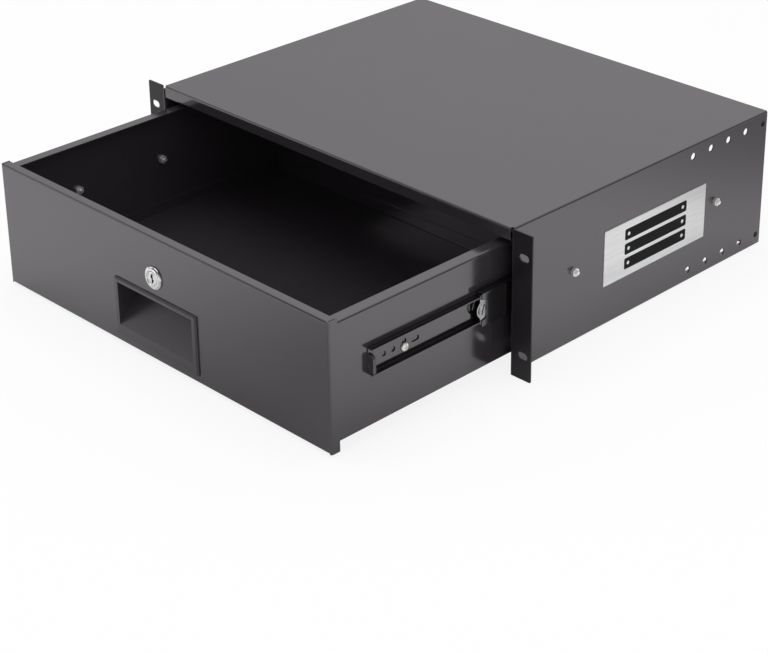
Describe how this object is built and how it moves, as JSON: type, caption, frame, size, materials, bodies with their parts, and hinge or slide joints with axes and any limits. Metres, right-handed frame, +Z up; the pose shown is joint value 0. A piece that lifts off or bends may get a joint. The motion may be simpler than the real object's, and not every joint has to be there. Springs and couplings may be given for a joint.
{
  "type": "sliding rack drawer",
  "caption": "Folded steel rack case with ears, holding a drawer that pulls out on ball slides; recessed handle and cam lock in the drawer's front.",
  "frame": {"origin": "centre of the four ear slots, on the front face of the rack ears", "axes": "+X to the viewer's right across the rack, +Y back into the rack, +Z up; the drawer pulls out along -Y"},
  "size_m": [0.4826, 0.5324, 0.1324],
  "materials": {
    "powder_coat": "semi-gloss black powder coat",
    "slide_black": "black electrophoretic coat on rolled steel",
    "zinc_steel": "bright zinc plate",
    "ball_steel": "polished steel",
    "cage_steel": "pressed zinc-plated strip",
    "lock_chrome": "chrome plate",
    "plate_metal": "brushed",
    "black_plastic": "moulded, satin",
    "key_steel": "nickel plate"
  },
  "bodies": {
    "case": {"case_shell": "powder_coat", "rear_top_brace": "powder_coat", "rear_bottom_brace": "powder_coat", "brace_screws": "slide_black", "size_plate": "plate_metal", "case_slide_bolts": "zinc_steel", "case_slide_nuts": "zinc_steel", "slide_outer_left": "slide_black", "slide_outer_right": "slide_black"},
    "ball_strips_left": {"outer_cage_left": "cage_steel", "outer_balls_left": "ball_steel"},
    "ball_strips_right": {"outer_cage_right": "cage_steel", "outer_balls_right": "ball_steel"},
    "middle_left": {"slide_middle_left": "slide_black"},
    "middle_right": {"slide_middle_right": "slide_black"},
    "ball_cage_left": {"inner_cage_left": "cage_steel", "inner_balls_left": "ball_steel"},
    "ball_cage_right": {"inner_cage_right": "cage_steel", "inner_balls_right": "ball_steel"},
    "drawer": {"drawer_wrap": "powder_coat", "drawer_floor": "powder_coat", "drawer_back": "powder_coat", "drawer_slide_screws": "zinc_steel", "drawer_slide_nuts": "zinc_steel", "handle_cup": "black_plastic", "lock_housing": "lock_chrome", "lock_washer": "zinc_steel", "lock_nut": "zinc_steel", "slide_inner_left": "slide_black", "slide_inner_right": "slide_black", "slide_end_cap_left": "black_plastic", "slide_end_cap_right": "black_plastic"},
    "lock_core": {"lock_plug": "lock_chrome", "lock_cam": "zinc_steel", "cam_screw": "zinc_steel"},
    "keys": {"key_bow_1": "black_plastic", "key_blade_1": "key_steel", "key_bow_2": "black_plastic", "key_blade_2": "key_steel", "key_ring": "key_steel"}
  },
  "joints": [
    {"name": "middle_slide_left", "type": "slide", "parent": "case", "child": "middle_left", "axis": [0, -1, 0], "range_m": [-0.0694, 0.064]},
    {"name": "middle_slide_right", "type": "slide", "parent": "case", "child": "middle_right", "axis": [0, -1, 0], "range_m": [-0.0694, 0.064]},
    {"name": "ball_strips_left_run", "type": "slide", "parent": "case", "child": "ball_strips_left", "axis": [0, -1, 0], "range_m": [-0.0347, 0.032]},
    {"name": "ball_strips_right_run", "type": "slide", "parent": "case", "child": "ball_strips_right", "axis": [0, -1, 0], "range_m": [-0.0347, 0.032]},
    {"name": "drawer_slide", "type": "slide", "parent": "middle_left", "child": "drawer", "axis": [0, -1, 0], "range_m": [-0.1206, 0]},
    {"name": "ball_cage_left_run", "type": "slide", "parent": "middle_left", "child": "ball_cage_left", "axis": [0, -1, 0], "range_m": [-0.0603, 0]},
    {"name": "ball_cage_right_run", "type": "slide", "parent": "middle_right", "child": "ball_cage_right", "axis": [0, -1, 0], "range_m": [-0.0603, 0]},
    {"name": "lock_turn", "type": "hinge", "parent": "drawer", "child": "lock_core", "pos_m": [0, -0.19, 0.01425], "axis": [0, 1, 0], "range_deg": [0, 90]},
    {"name": "keys_lift_out", "type": "slide", "parent": "drawer", "child": "keys", "axis": [0, 0, 1], "range_m": [0, 0.15]}
  ],
  "couplings": [
    {"joint": "middle_slide_right", "follows": "middle_slide_left", "ratio": 1},
    {"joint": "ball_strips_left_run", "follows": "middle_slide_left", "ratio": 0.5},
    {"joint": "ball_strips_right_run", "follows": "middle_slide_left", "ratio": 0.5},
    {"joint": "ball_cage_left_run", "follows": "drawer_slide", "ratio": 0.5},
    {"joint": "ball_cage_right_run", "follows": "drawer_slide", "ratio": 0.5}
  ]
}
